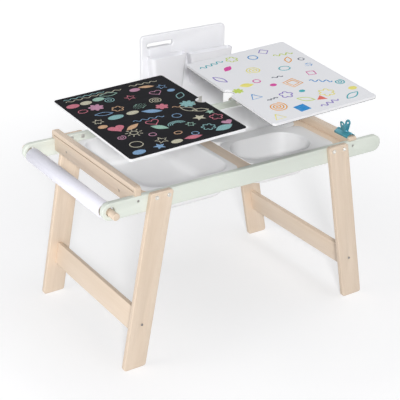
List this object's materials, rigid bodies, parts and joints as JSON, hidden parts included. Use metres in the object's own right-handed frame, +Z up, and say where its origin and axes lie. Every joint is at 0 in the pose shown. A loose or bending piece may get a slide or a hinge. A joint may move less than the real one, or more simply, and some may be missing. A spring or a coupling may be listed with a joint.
{
  "type": "activity table",
  "caption": "Children's activity table with storage bins, lift-off writing boards, paper roll, clip and hang-on storage panel.",
  "frame": {"origin": "on the floor, at the middle of the table between its four feet", "axes": "+X to the right along the rails, away from the paper roll; +Y to the back, towards the storage panel; +Z up"},
  "size_m": [0.9998, 0.7237, 0.819],
  "materials": {
    "sage_wood": "matte paint, pale sage",
    "birch": "clear satin lacquer on birch",
    "bin_plastic": "smooth white",
    "lid_core": "white, sawn edge",
    "chalk_surface": "matte black writing surface",
    "white_surface": "dry-wipe white",
    "paper": "plain uncoated white",
    "cardboard": "plain grey-brown",
    "panel_plastic": "fine matte, cool white",
    "holder_plastic": "satin white",
    "zinc_steel": "zinc plated",
    "clip_paint": "glossy teal enamel"
  },
  "bodies": {
    "table": {"rail_front": "sage_wood", "rail_back": "sage_wood", "leg_front_left": "birch", "leg_front_right": "birch", "leg_back_left": "birch", "leg_back_right": "birch", "stretcher_left": "birch", "stretcher_right": "birch", "end_board_left": "birch", "end_board_right": "birch", "ledge_left": "birch", "ledge_right": "birch", "crossbar": "birch", "bin_left": "bin_plastic", "bin_front_right": "bin_plastic", "bin_back_right": "bin_plastic", "clip_outer_jaw": "clip_paint", "clip_pin": "zinc_steel", "clip_spring": "zinc_steel", "leg_bolts": "zinc_steel", "leg_nuts": "zinc_steel", "stretcher_screws": "zinc_steel", "board_screws": "zinc_steel", "ledge_screws": "zinc_steel", "crossbar_pegs": "birch"},
    "left_lid": {"lid_left_core": "lid_core", "lid_left_chalk_sheet": "chalk_surface", "lid_left_white_sheet": "white_surface"},
    "right_lid": {"lid_right_core": "lid_core", "lid_right_white_sheet": "white_surface", "lid_right_chalk_sheet": "chalk_surface"},
    "roll": {"roll_paper": "paper", "roll_core": "cardboard"},
    "rod": {"roll_rod": "birch"},
    "panel": {"storage_panel": "panel_plastic", "panel_hooks": "zinc_steel", "hook_screws": "zinc_steel"},
    "cup": {"storage_cup": "holder_plastic"},
    "box": {"storage_box": "holder_plastic"},
    "clip_jaw": {"clip_inner_jaw": "clip_paint"}
  },
  "joints": [
    {"name": "left_lid_seat", "type": "hinge", "parent": "table", "child": "left_lid", "pos_m": [-4.06182, -0.12693, -1.84987], "axis": [0.32, -0.8191, -0.4761], "range_deg": [-3.52, 0]},
    {"name": "right_lid_seat", "type": "hinge", "parent": "table", "child": "right_lid", "pos_m": [-1.71244, -1.75426, -1.18936], "axis": [0.7787, -0.5548, -0.2929], "range_deg": [-5.53, 0]},
    {"name": "roll_turn", "type": "hinge", "parent": "table", "child": "roll", "pos_m": [-0.4734, 0.006, 0.5129], "axis": [0, 1, 0], "continuous": true},
    {"name": "rod_draw", "type": "slide", "parent": "table", "child": "rod", "axis": [0, -1, 0], "range_m": [0, 0.56]},
    {"name": "panel_lift", "type": "slide", "parent": "table", "child": "panel", "axis": [0, 0, 1], "range_m": [0, 0.06]},
    {"name": "cup_lift", "type": "slide", "parent": "panel", "child": "cup", "axis": [0, 0, 1], "range_m": [0, 0.012]},
    {"name": "box_lift", "type": "slide", "parent": "panel", "child": "box", "axis": [0, 0, 1], "range_m": [0, 0.012]},
    {"name": "clip_open", "type": "hinge", "parent": "table", "child": "clip_jaw", "pos_m": [0.38725, -0.2164, 0.569], "axis": [0, 1, 0], "range_deg": [0, 30]}
  ]
}
